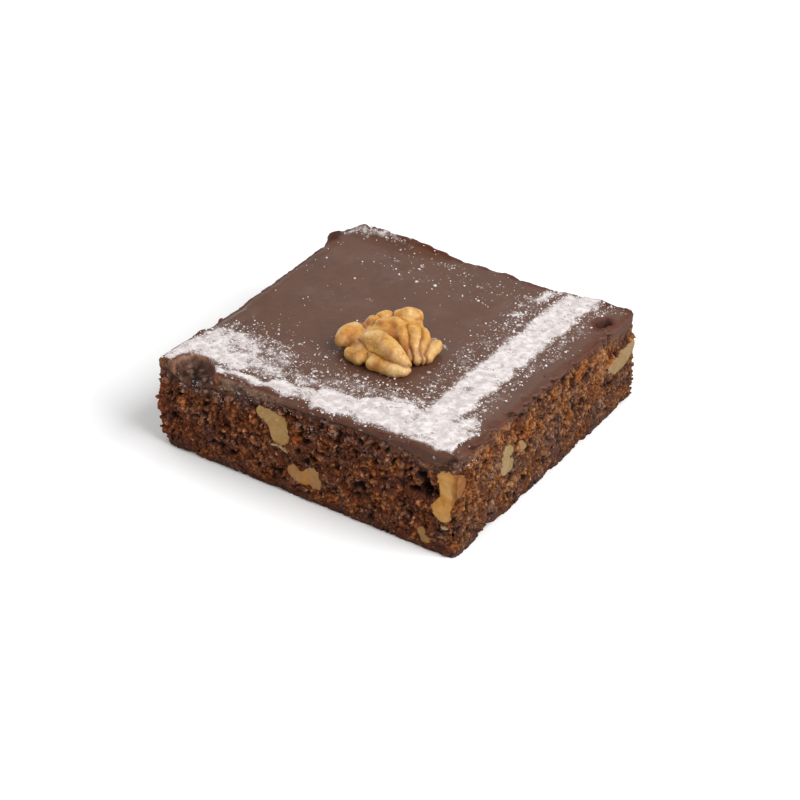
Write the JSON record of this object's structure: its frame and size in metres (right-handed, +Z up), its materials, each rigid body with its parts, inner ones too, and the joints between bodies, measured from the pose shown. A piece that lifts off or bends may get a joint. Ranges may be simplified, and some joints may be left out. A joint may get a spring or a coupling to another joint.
{
  "type": "walnut brownie",
  "caption": "Square cut piece of chocolate brownie with chocolate icing, a walnut half on top and walnut pieces in the cake.",
  "frame": {"origin": "middle of the square at the level of the table, centred under the whole piece", "axes": "+Z up, +X along the longer cut side, from the left to the front corner of the two sides in view, +Y to the far side"},
  "size_m": [0.0825, 0.0778, 0.0306],
  "materials": {
    "cake": "open crumb, dark chocolate brown",
    "icing": "set chocolate icing, satin, dusted with sugar",
    "walnut": "golden kernel skin, satin",
    "walnut_cut": "cut kernel, pale beige, matte"
  },
  "bodies": {
    "root": {"cake": "cake", "icing": "icing", "walnut_half": "walnut", "walnut_crescent": "walnut_cut", "walnut_pair": "walnut_cut", "walnut_corner": "walnut_cut", "walnut_chip": "walnut_cut", "walnut_bean": "walnut_cut", "walnut_sliver": "walnut_cut", "walnut_wedge": "walnut_cut", "walnut_rear_bean": "walnut_cut", "walnut_rear_slice": "walnut_cut", "walnut_side_lobe": "walnut_cut", "walnut_side_chip": "walnut_cut"}
  },
  "joints": []
}
